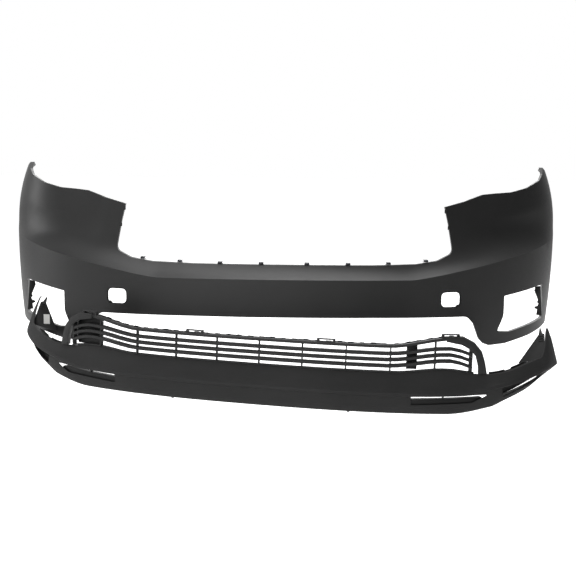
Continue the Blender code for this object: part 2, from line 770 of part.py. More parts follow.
def loop_piece(s):
    """A snap loop standing on the grille's top rail."""
    low = RAIL_TOP - 0.006 - rail_drop(s + 0.02)
    loop = swept("loop", LOWER_PLAN, along(s - 0.030, s + 0.030, 4),
                 bar_section(0.0143, 0.010, low, low + 0.017, 0.002), BLACK)
    x, y, turn = stand_on(s, 0.019)
    eye = solid_box("eye", (0.044, 0.04, 0.0052), (x, y, low + 0.0108), None, (0, 0, turn))
    return boolean(loop, eye, "DIFFERENCE")


def grille_stay(side):
    """An upright behind the grille: a narrow one on the right, a panel across the end cell on the left."""
    name, (start, stop) = STAYS[side]
    first, last = LOWER_PLAN.arc_at_x(start), LOWER_PLAN.arc_at_x(stop)

    def section(s):
        return bar_section(0.0348, 0.010, 0.1930, RAIL_TOP - 0.002 - rail_drop(s), 0.002)

    stay = swept(name, LOWER_PLAN, along(first, last, 4), section, BLACK)
    return shade(mirror_if_left(stay, side))


# ---------------------------------------------------------------- push clips
def push_clip(side):
    """A push-in retainer in the lower cover's bottom lip: a split collar and its centre pin."""
    x, y, z = clip_seat(side)
    seat = z - 0.0030
    word = "right" if side > 0 else "left"
    head = [(0.0022, -0.0028), (0.0062, -0.0028), (0.0090, -0.0020), (0.0090, -GAP), (0.0040, -GAP)]
    shank = [(0.0040, 0.0095), (0.0034, 0.0130), (0.0022, 0.0130), (0.0022, -0.0028)]
    collar = turned(f"push_clip_{word}", head + shank, (x, y, seat), BLACK)
    pin_head = [(0, -0.0058), (0.0040, -0.0058), (0.0052, -0.0050), (0.0052, -0.0032), (0.0018, -0.0032)]
    stem = [(0.0018, 0.0140), (0.0010, 0.0150), (0, 0.0150)]
    pin = turned(f"clip_pin_{word}", pin_head + stem, (0, 0, 0), BLACK)
    pin.location = (x, y, seat)
    return collar, pin


# ---------------------------------------------------------------- assembly
def build():
    upper = upper_cover()
    add_mounting_pad(upper)
    upper_pieces = [upper, *edge_clips(), fog_bracket(-1), fog_bracket(1)]
    lower_pieces = [lower_cover(), lower_grille(), part_label()]
    for side in (-1, 1):
        lower_pieces += [grille_stay(side), duct_insert(side), corner_duct(side), wing_bracket(side)]
        lower_pieces += push_clip(side)
    origin = Vector((0, PAD_BACK, PAD_HEIGHT))
    for obj in upper_pieces:
        obj.data.transform(Matrix.Translation(-origin))
    frame = link(bpy.data.objects.new("lower_frame", None))
    frame.location = LAY_SHIFT - origin
    frame.rotation_euler = Euler((0, LAY_ROLL, LAY_YAW))
    for obj in lower_pieces:
        obj.data.transform(Matrix.Scale(LOWER_FIT, 4))
        obj.location *= LOWER_FIT
        obj.parent = frame


build()
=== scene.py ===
"""Looks of the front bumper cover kit.

The two covers are drawn again as fine shells over the same curves as the CAD model, the grille gets the
uneven top edge of its clip strip, and every small fitting is the CAD shape with softened edges.
Metres, +Z up, -Y forward; the origin is the back face of the mounting pad behind the band.
"""

import json
import math

import bmesh
import bpy
import numpy as np
from mathutils import Euler, Matrix, Vector

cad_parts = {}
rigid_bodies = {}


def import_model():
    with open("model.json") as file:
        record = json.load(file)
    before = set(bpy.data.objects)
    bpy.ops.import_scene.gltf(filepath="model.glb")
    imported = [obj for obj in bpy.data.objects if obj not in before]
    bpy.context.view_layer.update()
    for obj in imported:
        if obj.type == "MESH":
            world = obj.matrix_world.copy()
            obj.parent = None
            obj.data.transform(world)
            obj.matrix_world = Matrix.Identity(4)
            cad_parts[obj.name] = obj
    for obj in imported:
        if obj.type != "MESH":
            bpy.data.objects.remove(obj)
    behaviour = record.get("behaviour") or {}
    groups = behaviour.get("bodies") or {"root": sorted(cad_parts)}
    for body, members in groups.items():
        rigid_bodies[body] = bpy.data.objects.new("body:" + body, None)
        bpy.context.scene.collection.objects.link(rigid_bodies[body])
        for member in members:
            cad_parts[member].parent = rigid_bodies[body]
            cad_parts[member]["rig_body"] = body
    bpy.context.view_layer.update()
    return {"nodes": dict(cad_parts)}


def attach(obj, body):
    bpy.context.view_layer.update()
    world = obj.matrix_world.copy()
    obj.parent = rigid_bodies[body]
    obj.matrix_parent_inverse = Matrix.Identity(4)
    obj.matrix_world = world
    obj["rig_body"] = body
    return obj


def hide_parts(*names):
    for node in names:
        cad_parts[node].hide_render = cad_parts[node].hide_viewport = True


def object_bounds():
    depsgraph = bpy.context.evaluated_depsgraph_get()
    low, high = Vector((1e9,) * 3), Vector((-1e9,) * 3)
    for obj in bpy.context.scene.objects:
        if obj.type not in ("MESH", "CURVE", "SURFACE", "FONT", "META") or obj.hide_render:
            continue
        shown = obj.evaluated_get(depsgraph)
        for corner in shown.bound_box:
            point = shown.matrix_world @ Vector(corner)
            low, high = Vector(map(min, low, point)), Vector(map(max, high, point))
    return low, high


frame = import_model()

# ---------------------------------------------------------------- driving dimensions
PAD_BACK = 0.030  # the drawing's own zero is this far in front of the origin and PAD_HEIGHT under it
PAD_HEIGHT = 0.360
UPPER_HALF = 0.999
UPPER_DEPTH = 0.60
UPPER_POWER = 2.30
LOWER_HALF = 0.964
LOWER_DEPTH = 0.50
LOWER_POWER = 2.45
LOWER_FIT = 0.93
LOWER_END = 0.40  # the lower cover's ends are this far behind its middle
SKIN_END = 1.31  # the upper skin is drawn to this arc length, past where its rear edge is cut
WALL = 0.003
FLANGE = 0.016
FLANGE_START = 0.001
MARGIN = 0.002  # a flange's patch stops this far short of the skin's own end
SLIDE_DROP = 0.130  # how far down the lower cover travels on its slide; the floor lies under that

CREASE_MID = 0.420
CREASE_FLAT = 0.42
CREASE_CLIMB = 0.185
BAND_BOTTOM = 0.296
LEDGE_TOP = 0.463
SKIRT_BOTTOM = 0.165
EAR_TOP = 0.83
TOW_EYE = (0.557, 0.352)  # centre of the right tow eye hole, x and z
TOW_SIZE = (0.070, 0.056)
EAR_TAB_SPOTS = ((0.5605, 0.585), (0.5505, 0.640))  # x and z

RIDGE_MID = 0.115
RIDGE_OUT = 0.015
GRILLE_BOTTOM = 0.180
RAIL_TOP = 0.273
ARCH_CENTRE = (0.93, 0.33)
ARCH_RADIUS = 0.42

LAY_SHIFT = Vector((-0.0777, -0.2746, 0.0195))
LAY_YAW = math.radians(-10.4)
LAY_ROLL = math.radians(1.4)

ORIGIN = Vector((0, PAD_BACK, PAD_HEIGHT))
UPPER_PLACE = Matrix.Translation(-ORIGIN)
LAY_TURN = Euler((0, LAY_ROLL, LAY_YAW)).to_matrix().to_4x4()
LOWER_PLACE = Matrix.Translation(LAY_SHIFT - ORIGIN) @ LAY_TURN @ Matrix.Scale(LOWER_FIT, 4)


# ---------------------------------------------------------------- plan curves
class Plan:
    """One side of a superellipse, run straight back at its end, read by arc length."""

    def __init__(self, half_width, depth, power, tail=0.12, samples=1200):
        angle = np.linspace(0.0, math.pi / 2, samples)
        x = half_width * np.sin(angle) ** (2 / power)
        y = depth * (1 - np.cos(angle) ** (2 / power))
        self.x = np.append(x, half_width)
        self.y = np.append(y, depth + tail)
        steps = np.hypot(np.diff(self.x), np.diff(self.y))
        self.arc = np.concatenate([[0.0], np.cumsum(steps)])

    def point(self, s, inset=0.0):
        """(x, y) at signed arc length s, moved inward by inset along the normal."""
        side = -1.0 if s < 0 else 1.0
        a = abs(s)
        span = 0.02
        x0 = np.interp(a, self.arc, self.x)
        y0 = np.interp(a, self.arc, self.y)
        low = max(a - span, 0.0)
        tx = np.interp(a + span, self.arc, self.x) - np.interp(low, self.arc, self.x)
        ty = np.interp(a + span, self.arc, self.y) - np.interp(low, self.arc, self.y)
        if a < span:
            ty *= a / span
        length = math.hypot(tx, ty)
        return side * (x0 - inset * ty / length), y0 + inset * tx / length

    def arc_at_x(self, x):
        return float(np.interp(abs(x), self.x, self.arc))

    def arc_at_y(self, y):
        return float(np.interp(y, self.y, self.arc))


UPPER_PLAN = Plan(UPPER_HALF, UPPER_DEPTH, UPPER_POWER)
LOWER_PLAN = Plan(LOWER_HALF, LOWER_DEPTH, LOWER_POWER)


def smooth(value, low, high):
    """0 below low, 1 above high, with an S between."""
    t = min(max((value - low) / (high - low), 0.0), 1.0)
    return t * t * (3 - 2 * t)


def blend(a, b, share):
    return a + (b - a) * share


# ---------------------------------------------------------------- surfaces
def crease_height(s):
    beyond = max(abs(s) - CREASE_FLAT, 0.0)
    return CREASE_MID + CREASE_CLIMB * beyond * beyond / (beyond + 0.04)


def upper_inset(s, z):
    """How far the upper cover's skin lies inside the plan curve at height z."""
    above = z - crease_height(s)
    to_side = smooth(abs(s), 0.70, 1.15)
    if above <= 0:
        below = -above
        return blend(0.06, 0.16, to_side) * below * below + blend(0.012, 0.0, to_side) * below
    step = blend(0.060, 0.002, to_side)
    slope = blend(0.33, 0.015, to_side)
    hollow = 0.009 * smooth(abs(s), 0.62, 0.85) * (1 - smooth(abs(s), 0.95, 1.15))
    crown = to_side * 1.0 * max(z - 0.60, 0.0) ** 2
    scoop = hollow * math.sin(math.pi * min(above / 0.13, 1.0))
    return step * (1 - math.exp(-above / 0.035)) + slope * above + scoop + crown


def upper_point(s, z, depth=0.0):
    x, y = UPPER_PLAN.point(s, upper_inset(s, z) + depth)
    return (x, y, z)


def hump(s):
    """The sill of the grille rises a little just inside the grille's ends."""
    return smooth(abs(s), 0.45, 0.60) * (1 - smooth(abs(s), 0.62, 0.73))


def lower_section(s):
    """The lower cover's section at arc length s, from the top edge down: (inset, z) pairs."""
    out = smooth(abs(s), 0.62, 0.86)
    far = smooth(abs(s), 0.82, 1.04)
    horn = smooth(abs(s), LOWER_PLAN.arc_at_y(0.285), LOWER_PLAN.arc_at_y(0.39))
    top = GRILLE_BOTTOM + 0.012 * hump(s) + 0.040 * smooth(abs(s), 0.765, 1.00) + 0.086 * horn
    ridge = blend(RIDGE_MID, 0.150, out) + 0.036 * far
    bottom = blend(0.052, 0.082, out) + 0.073 * min(max((abs(s) - 0.785) / 0.27, 0.0), 1.0)
    top_inset = blend(0.026, 0.004, out) + 0.020 * horn
    lip = blend(0.014, 0.005, smooth(abs(s), LOWER_PLAN.arc_at_y(0.22), LOWER_PLAN.arc_at_y(0.28)))
    rise = top - ridge
    bulge = 0.005 * far * (1 - 0.4 * horn)
    hollow = 0.006 * (1 - out)
    tuck = 0.012 * far
    return [
        (top_inset + lip, top),
        (top_inset + 0.001, top),
        (top_inset, top - 0.0015),
        (blend(top_inset, -RIDGE_OUT, 0.30) + hollow - bulge, top - 0.30 * rise),
        (blend(top_inset, -RIDGE_OUT, 0.62) + hollow - bulge, top - 0.64 * rise),
        (-RIDGE_OUT + 0.002 - 0.3 * bulge, ridge + 0.008),
        (-RIDGE_OUT + 0.0003, ridge + 0.002),
        (-RIDGE_OUT + 0.0003, ridge - 0.001),
        (-RIDGE_OUT + 0.007, ridge - 0.007),
        (-RIDGE_OUT + 0.010 + 0.5 * tuck, blend(ridge, bottom, 0.55)),
        (-RIDGE_OUT + 0.018 + tuck, bottom + 0.006),
        (-RIDGE_OUT + 0.024 + tuck, bottom),
        (-RIDGE_OUT + 0.064 + tuck - 0.028 * far, bottom + 0.002),
    ]


# ---------------------------------------------------------------- mesh helpers
def new_object(name, mesh, material=None):
    obj = bpy.data.objects.new(name, mesh)
    bpy.context.scene.collection.objects.link(obj)
    if material:
        mesh.materials.clear()
        mesh.materials.append(material)
    return obj


def sheet(name, rows):
    """Joins rows of points into an open sheet of quads."""
    bm = bmesh.new()
    grid = [[bm.verts.new(point) for point in row] for row in rows]
    for first, second in zip(grid, grid[1:]):
        for i in range(len(first) - 1):
            bm.faces.new((first[i], first[i + 1], second[i + 1], second[i]))
    mesh = bpy.data.meshes.new(name)
    bm.to_mesh(mesh)
    bm.free()
    return new_object(name, mesh)


def apply_modifiers(obj):
    bpy.context.view_layer.update()
    graph = bpy.context.evaluated_depsgraph_get()
    mesh = bpy.data.meshes.new_from_object(obj.evaluated_get(graph))
    obj.modifiers.clear()
    obj.data = mesh
    return obj


def thicken(obj, thickness):
    modifier = obj.modifiers.new("wall", "SOLIDIFY")
    modifier.thickness = thickness
    modifier.offset = -1.0
    modifier.use_even_offset = False
    return apply_modifiers(obj)


def triangulate(obj):
    """Flat faces only, so that the Boolean has no bent ones to cut."""
    bm = bmesh.new()
    bm.from_mesh(obj.data)
    bmesh.ops.triangulate(bm, faces=bm.faces)
    bm.to_mesh(obj.data)
    bm.free()


def boolean(obj, other, operation):
    triangulate(obj)
    triangulate(other)
    modifier = obj.modifiers.new("cut", "BOOLEAN")
    modifier.operation = operation
    modifier.object = other
    modifier.solver = "EXACT"
    apply_modifiers(obj)
    bpy.data.objects.remove(other, do_unlink=True)
    return obj


def merge(obj, other):
    """Adds the other's faces to obj."""
    bm = bmesh.new()
    bm.from_mesh(obj.data)
    bm.from_mesh(other.data)
    bm.to_mesh(obj.data)
    bm.free()
    bpy.data.objects.remove(other, do_unlink=True)
    return obj


def soften(obj, width, segments=2, degrees=38):
    """Rounds the sharp edges and shades the rest smooth."""
    edges = obj.modifiers.new("edges", "BEVEL")
    edges.width = width
    edges.segments = segments
    edges.limit_method = "ANGLE"
    edges.angle_limit = math.radians(degrees)
    apply_modifiers(obj)
    return smooth_shade(obj, degrees)


def solid_box(name, size, centre, bevel):
    bm = bmesh.new()
    bmesh.ops.create_cube(bm, size=1.0)
    bmesh.ops.scale(bm, vec=size, verts=bm.verts)
    bmesh.ops.translate(bm, vec=centre, verts=bm.verts)
    mesh = bpy.data.meshes.new(name)
    bm.to_mesh(mesh)
    bm.free()
    return soften(new_object(name, mesh), bevel)


def side_name(name, side):
    word = "right" if side > 0 else "left"
    return f"{name}_{word}"


def smooth_shade(obj, degrees):
    obj.data.shade_smooth()
    obj.data.set_sharp_from_angle(angle=math.radians(degrees))
    return obj


def finish_piece(obj, place, material, body, nodes=()):
    """Moves a piece from the drawing into the row frame and gives it its body, finish and CAD nodes."""
    obj.data.transform(place)
    obj.data.materials.clear()
    obj.data.materials.append(material)
    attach(obj, body)
    if nodes:
        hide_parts(*nodes)
    return obj


# an outline's own x and y become: front view x and z; side view y and z
FRONT_VIEW = Matrix(((1, 0, 0, 0), (0, 0, -1, 0), (0, 1, 0, 0), (0, 0, 0, 1)))
SIDE_VIEW = Matrix(((0, 0, 1, 0), (1, 0, 0, 0), (0, 1, 0, 0), (0, 0, 0, 1)))


def outline_solid(name, points, thickness, matrix):
    """A flat outline, given in its own plane, as a plate of that thickness centred on the plane."""
    curve = bpy.data.curves.new(name, "CURVE")
    curve.dimensions = "2D"
    curve.fill_mode = "BOTH"
    curve.extrude = thickness / 2
    spline = curve.splines.new("POLY")
    spline.points.add(len(points) - 1)
    for target, (u, v) in zip(spline.points, points):
        target.co = (u, v, 0.0, 1.0)
    spline.use_cyclic_u = True
    flat = bpy.data.objects.new(name + "_curve", curve)
    bpy.context.scene.collection.objects.link(flat)
    bpy.context.view_layer.update()
    graph = bpy.context.evaluated_depsgraph_get()
    mesh = bpy.data.meshes.new_from_object(flat.evaluated_get(graph))
    bpy.data.objects.remove(flat, do_unlink=True)
    bm = bmesh.new()
    bm.from_mesh(mesh)
    bmesh.ops.remove_doubles(bm, verts=bm.verts, dist=1e-5)
    bmesh.ops.recalc_face_normals(bm, faces=bm.faces)
    bm.transform(matrix)
    bm.to_mesh(mesh)
    bm.free()
    return new_object(name, mesh)


def front_prism(points, y_from=-0.2, y_to=0.9):
    place = Matrix.Translation((0, (y_from + y_to) / 2, 0)) @ FRONT_VIEW
    return outline_solid("front_prism", points, y_to - y_from, place)


def side_prism(points, half_width=1.2):
    return outline_solid("side_prism", points, 2 * half_width, SIDE_VIEW)


def rounded(points, radius, steps=6):
    """The closed outline with each corner replaced by an arc; radius may be one for each corner."""
    radii = radius if isinstance(radius, (list, tuple)) else [radius] * len(points)
    result = []
    for i, corner in enumerate(points):
        here = Vector(corner)
        before = Vector(points[i - 1]) - here
        after = Vector(points[(i + 1) % len(points)]) - here
        half = before.angle(after) / 2
        if radii[i] <= 0 or abs(half - math.pi / 2) < 0.02:
            result.append(tuple(here))
            continue
        cut = min(radii[i] / math.tan(half), 0.45 * before.length, 0.45 * after.length)
        start = here + before.normalized() * cut
        end = here + after.normalized() * cut
        for k in range(steps + 1):
            t = k / steps
            result.append(tuple((1 - t) ** 2 * start + 2 * t * (1 - t) * here + t * t * end))
    return result


def mirrored(points):
    return [(-x, z) for x, z in reversed(points)]


def grown(points, amount):
    """A closed outline moved outward by amount."""
    area = sum(a[0] * b[1] - b[0] * a[1] for a, b in zip(points, points[1:] + points[:1]))
    turn = 1.0 if area > 0 else -1.0
    result = []
    for i, corner in enumerate(points):
        a = (Vector(corner) - Vector(points[i - 1])).normalized()
        b = (Vector(points[(i + 1) % len(points)]) - Vector(corner)).normalized()
        normal = Vector((a.y + b.y, -a.x - b.x)) * turn
        normal.normalize()
        cosine = max(normal.dot(Vector((b.y, -b.x)) * turn), 0.5)
        result.append(tuple(Vector(corner) + normal * amount / cosine))
    return result


# ---------------------------------------------------------------- materials
def link_nodes(tree, source, output, target, field):
    tree.links.new(source.outputs[output], target.inputs[field])


def ramp(tree, source, low, high, dark, light):
    """A colour ramp from dark at low to light at high, fed by a factor."""
    node = tree.nodes.new("ShaderNodeValToRGB")
    node.color_ramp.elements[0].position = low
    node.color_ramp.elements[1].position = high
    node.color_ramp.elements[0].color = (*dark, 1.0)
    node.color_ramp.elements[1].color = (*light, 1.0)
    link_nodes(tree, source, "Fac", node, "Fac")
    return node


def noise(tree, coordinates, scale, detail=3.0, stretch=(1, 1, 1)):
    mapping = tree.nodes.new("ShaderNodeMapping")
    mapping.inputs["Scale"].default_value = stretch
    link_nodes(tree, coordinates, "Object", mapping, "Vector")
    node = tree.nodes.new("ShaderNodeTexNoise")
    node.inputs["Scale"].default_value = scale
    node.inputs["Detail"].default_value = detail
    link_nodes(tree, mapping, "Vector", node, "Vector")
    return node


def finish(name, dark, light, roughness, grain, depth, specular=0.3, metallic=0.0, cells=False):
    """Moulded plastic or metal: cloudy colour, uneven sheen and fine grain.

    grain is the size of one grain in metres and depth how deep it is; cells makes a leather-like grain.
    """
    material = bpy.data.materials.new(name)
    material.use_nodes = True
    tree = material.node_tree
    shader = tree.nodes["Principled BSDF"]
    place = tree.nodes.new("ShaderNodeTexCoord")
    clouds = noise(tree, place, 4.0)
    colour = ramp(tree, clouds, 0.35, 0.65, dark, light)
    link_nodes(tree, colour, "Color", shader, "Base Color")
    sheen = noise(tree, place, 60.0, 6.0, (1.0, 1.0, 5.0))
    rough = tree.nodes.new("ShaderNodeMapRange")
    rough.inputs["To Min"].default_value = roughness - 0.07
    rough.inputs["To Max"].default_value = roughness + 0.07
    link_nodes(tree, sheen, "Fac", rough, "Value")
    link_nodes(tree, rough, "Result", shader, "Roughness")
    bump = tree.nodes.new("ShaderNodeBump")
    bump.inputs["Distance"].default_value = depth
    bump.inputs["Strength"].default_value = 0.6
    if cells:
        fine = tree.nodes.new("ShaderNodeTexVoronoi")
        fine.inputs["Scale"].default_value = 1.0 / grain
        link_nodes(tree, place, "Object", fine, "Vector")
        link_nodes(tree, fine, "Distance", bump, "Height")
    else:
        fine = noise(tree, place, 1.0 / grain, 2.0)
        link_nodes(tree, fine, "Fac", bump, "Height")
    link_nodes(tree, bump, "Normal", shader, "Normal")
    shader.inputs["Specular IOR Level"].default_value = specular
    shader.inputs["Metallic"].default_value = metallic
    return material


def primed_plastic():
    """Smooth primer, satin and almost even."""
    dark, light = (0.0110,) * 3, (0.0135,) * 3
    return finish("primed_plastic_fine", dark, light, 0.40, 0.0016, 0.00004, specular=0.42)


def grained_plastic():
    """Bare moulding with a fine leather grain."""
    dark, light = (0.0215,) * 3, (0.0265,) * 3
    return finish("grained_plastic_fine", dark, light, 0.64, 0.0011, 0.00025, specular=0.17, cells=True)


def grille_plastic():
    dark, light = (0.0150,) * 3, (0.0190,) * 3
    return finish("grille_plastic_fine", dark, light, 0.55, 0.0012, 0.00015)


def black_plastic():
    dark, light = (0.0060,) * 3, (0.0085,) * 3
    return finish("black_plastic_fine", dark, light, 0.50, 0.0014, 0.00012)


def spring_steel():
    dark, light = (0.030, 0.030, 0.033), (0.045, 0.045, 0.050)
    return finish("spring_steel_fine", dark, light, 0.38, 0.0006, 0.00002, metallic=1.0)


def label_paper():
    dark, light = (0.50, 0.50, 0.48), (0.60, 0.60, 0.58)
    return finish("label_paper_fine", dark, light, 0.75, 0.0005, 0.00002)


PRIMED = primed_plastic()
GRAINED = grained_plastic()
GRILLE = grille_plastic()
BLACK = black_plastic()
STEEL = spring_steel()
PAPER = label_paper()


# ---------------------------------------------------------------- outlines of the upper cover
def top_opening():
    """All that is cut away above the ledge and between the two ears."""
    ledge = [(0.30, LEDGE_TOP + 0.001), (0.44, LEDGE_TOP + 0.004), (0.515, 0.478), (0.570, 0.503)]
    ear_inside = [(0.566, 0.540), (0.558, 0.60), (0.547, 0.655)]
    ear_top = [(0.62, 0.674), (0.685, 0.697), (0.735, 0.702), (0.79, 0.706), (0.85, 0.721), (0.905, 0.748)]
    tip = [(0.922, 0.770), (0.928, 0.793), (0.960, 0.772), (1.2, 0.735), (1.2, 0.95)]
    right = ledge + ear_inside + ear_top + tip
    radii = [0, 0.05, 0.05, 0.025] + [0] * (len(right) - 4)
    return rounded(right + mirrored(right), radii + radii[::-1], 6)


def lower_opening():
    """The air opening under the band, open at the bottom between the two legs."""
    right = [(0.688, 0.05), (0.688, 0.187), (0.662, 0.213), (0.640, 0.268), (0.616, BAND_BOTTOM - 0.003),
             (0.30, BAND_BOTTOM)]
    radii = [0, 0.03, 0.02, 0.02, 0.03, 0]
    return rounded(right + mirrored(right), radii + radii[::-1], 5)


def under_rail():
    """What is cut away under the right fog lamp rail."""
    return [(0.66, 0.05), (0.672, 0.200), (0.700, 0.189), (0.76, 0.190), (0.863, 0.207), (0.943, 0.226),
            (1.05, 0.250), (1.05, 0.05)]


def fog_opening():
    points = [(0.754, 0.356), (0.754, 0.287), (0.730, 0.234), (0.775, 0.229), (0.930, 0.256), (0.920, 0.381)]
    return rounded(points, [0.004, 0.06, 0.008, 0.02, 0.012, 0.006])


def tow_opening(margin=0.0):
    width, height = (size + 2 * margin for size in TOW_SIZE)
    x, z = TOW_EYE[0] - width / 2, TOW_EYE[1] - height / 2
    corners = [(x, z), (x + width, z), (x + width, z + height), (x, z + height)]
    return rounded(corners, 0.020 + margin)


def rear_edge():
    """What is cut away behind the fender line and the wheel arch, in side view."""
    arc = []
    for k in range(17):
        angle = math.radians(205 - 50 * k / 16)
        y = ARCH_CENTRE[0] + ARCH_RADIUS * math.cos(angle)
        z = ARCH_CENTRE[1] + ARCH_RADIUS * math.sin(angle)
        arc.append((y, z))
    low_y = arc[0][0]
    ear_back = [(0.600, 0.700), (0.598, 0.757), (0.520, 0.802)]
    return [(1.2, 0.0), (low_y, 0.0), *arc, *ear_back, (0.520, 1.0), (1.2, 1.0)]


# ---------------------------------------------------------------- the upper cover
def upper_patch(name, depth, ends, heights):
    """A piece of the upper skin, depth under it, between two arc lengths and through the given heights."""
    columns = np.linspace(ends[0], ends[1], max(int((ends[1] - ends[0]) / 0.018), 8))
    return sheet(name, [[upper_point(s, z(s), depth) for s in columns] for z in heights])


def level(height):
    return lambda s: height


def from_crease(share, limit):
    return lambda s: blend(crease_height(s), limit, share)


def upper_skin():
    below = [from_crease(1 - share, SKIRT_BOTTOM) for share in np.linspace(0.0, 1.0, 15)]
    above = [from_crease(share ** 1.7, EAR_TOP) for share in np.linspace(0.0, 1.0, 30)]
    return thicken(upper_patch("upper_skin", 0.0, (-SKIN_END, SKIN_END), below + above[1:]), WALL)


def add_flange(cover, outline, ends, low, high):
    """A turned-in edge round an opening: a deeper patch of skin kept only just outside the outline."""
    heights = [level(z) for z in np.linspace(low, high, max(int((high - low) / 0.015), 6))]
    plug = thicken(upper_patch("plug", FLANGE_START, ends, heights), FLANGE)
    boolean(plug, front_prism(grown(outline, WALL)), "INTERSECT")
    boolean(cover, plug, "UNION")


def build_upper():
    cover = upper_skin()
    fog, tow, rail = fog_opening(), tow_opening(), under_rail()
    flange_end = SKIN_END - 2.5 * MARGIN
    add_flange(cover, top_opening(), (-flange_end, flange_end), 0.445, EAR_TOP - MARGIN)
    add_flange(cover, lower_opening(), (-0.82, 0.82), SKIRT_BOTTOM + MARGIN, 0.315)
    for side in (-1, 1):
        turn = mirrored if side < 0 else list
        for outline, near, far, low, high in (
                (fog, 0.72, 1.12, 0.21, 0.40), (tow, 0.50, 0.63, 0.31, 0.395),
                (rail, 0.623, flange_end - MARGIN, SKIRT_BOTTOM + 2 * MARGIN, 0.272)):
            add_flange(cover, turn(outline), sorted((side * near, side * far)), low, high)
    for outline in (fog, tow, rail):
        boolean(cover, front_prism(outline), "DIFFERENCE")
        boolean(cover, front_prism(mirrored(outline)), "DIFFERENCE")
    boolean(cover, front_prism(top_opening()), "DIFFERENCE")
    boolean(cover, front_prism(lower_opening()), "DIFFERENCE")
    boolean(cover, side_prism(rear_edge()), "DIFFERENCE")
    smooth_shade(cover, 32)
    finish_piece(cover, UPPER_PLACE, PRIMED, "upper", ["upper_cover"])


def build_pad():
    """The mounting pad behind the band, with a web on each side that ties it to the skin."""
    low = Vector((-0.045, -PAD_BACK + 0.0045, -0.025))
    high = Vector((0.045, 0.0, 0.025))
    pad = solid_box("band_pad", high - low, (low + high) / 2, 0.0015)
    for side in (-1, 1):
        web = [(0.0, -0.020), (0.0, 0.020), (0.060, 0.012), (0.060, -0.012)]
        place = Matrix.Translation((side * 0.044, -0.016, 0)) @ Matrix.Diagonal((side, 1, 1, 1)) @ FRONT_VIEW
        plate = outline_solid("web", web, 0.0025, place)
        plate.data.transform(Matrix.Translation((0, -0.004, 0)))
        merge(pad, plate)
    finish_piece(pad, Matrix.Identity(4), PRIMED, "upper")


def build_tow_rims():
    """A recessed rim inside each tow eye hole, with the cover's latch at its lower outer corner."""
    for side in (-1, 1):
        turn = mirrored if side < 0 else list
        ends = sorted((side * 0.505, side * 0.625))
        heights = [level(z) for z in np.linspace(0.312, 0.394, 6)]
        rim = thicken(upper_patch("tow_rim", 0.006, ends, heights), 0.002)
        boolean(rim, front_prism(turn(tow_opening(0.001))), "INTERSECT")
        boolean(rim, front_prism(turn(tow_opening(-0.0035))), "DIFFERENCE")
        x, z = TOW_EYE[0] + 0.0285, TOW_EYE[1] - 0.0225
        s = UPPER_PLAN.arc_at_x(x)
        y = upper_point(s, z, 0.007)[1]
        latch = solid_box("latch", (0.012, 0.008, 0.010), (side * x, y, z), 0.0012)
        hook = solid_box("hook", (0.004, 0.012, 0.005), (side * (x - 0.007), y + 0.002, z - 0.001), 0.0008)
        merge(latch, hook)
        merge(rim, latch)
        rim.name = side_name("tow_rim", side)
        smooth_shade(rim, 35)
        finish_piece(rim, UPPER_PLACE, BLACK, "upper")


def build_ear_tabs():
    """Small slotted tabs that stand out from the inner edge of each ear."""
    for side in (-1, 1):
        for number, (x, z) in enumerate(EAR_TAB_SPOTS, start=1):
            s = UPPER_PLAN.arc_at_x(x)
            y = upper_point(s, z, 0.0)[1] + 0.008
            outline = rounded([(0.004, -0.008), (-0.005, -0.006), (-0.005, 0.006), (0.004, 0.008)], 0.002, 3)
            place = Matrix.Translation((side * x, y, z)) @ Matrix.Diagonal((side, 1, 1, 1)) @ FRONT_VIEW
            tab = outline_solid(side_name(f"ear_tab_{number}", side), outline, 0.0025, place)
            soften(tab, 0.0004)
            finish_piece(tab, UPPER_PLACE, BLACK, "upper")


# ---------------------------------------------------------------- the lower cover
def inner_slot():
    points = [(0.498, 0.112), (0.498, 0.083), (0.690, 0.092), (0.745, 0.119)]
    return rounded(points, [0.003, 0.003, 0.010, 0.004], 3)


def outer_slot():
    points = [(0.784, 0.138), (0.790, 0.106), (0.898, 0.148), (0.928, 0.177)]
    return rounded(points, [0.003, 0.003, 0.008, 0.004], 3)


def build_lower():
    end = LOWER_PLAN.arc_at_y(LOWER_END)
    columns = np.linspace(-end, end, 141)
    rows = []
    for s in columns:
        rows.append([(*LOWER_PLAN.point(s, inset), z) for inset, z in lower_section(s)])
    across = [list(row) for row in zip(*rows)]
    cover = thicken(sheet("lower_skin", across[::-1]), WALL)
    for outline in (inner_slot(), mirrored(inner_slot()), outer_slot(), mirrored(outer_slot())):
        boolean(cover, front_prism(outline, -0.2, 0.335), "DIFFERENCE")
    smooth_shade(cover, 28)
    finish_piece(cover, LOWER_PLACE, GRAINED, "lower", ["lower_cover"])


def rail_rise(s):
    return 0.029 * smooth(abs(s), 0.42, 0.63)


def clip_tooth(s):
    """Height of the clip strip's uneven top edge: two kinds of teeth and small notches between them."""
    long_beat = math.sin(2 * math.pi * s / 0.118)
    short_beat = math.sin(2 * math.pi * s / 0.037 + 0.8)
    return 0.0016 + 0.0014 * (short_beat > 0.25) + 0.0012 * (long_beat > 0.55)


def build_clip_strip():
    """The strip of teeth along the grille's top rail that snaps into the upper cover."""
    columns = np.arange(-0.655, 0.6551, 0.0035)
    rows = []
    for share in (0.0, 1.0):
        heights = [RAIL_TOP - 0.003 + rail_rise(s) + share * (0.003 + clip_tooth(s)) for s in columns]
        rows.append([(*LOWER_PLAN.point(s, 0.028), z) for s, z in zip(columns, heights)])
    strip = thicken(sheet("clip_strip", rows), 0.0022)
    smooth_shade(strip, 20)
    finish_piece(strip, LOWER_PLACE, BLACK, "lower")


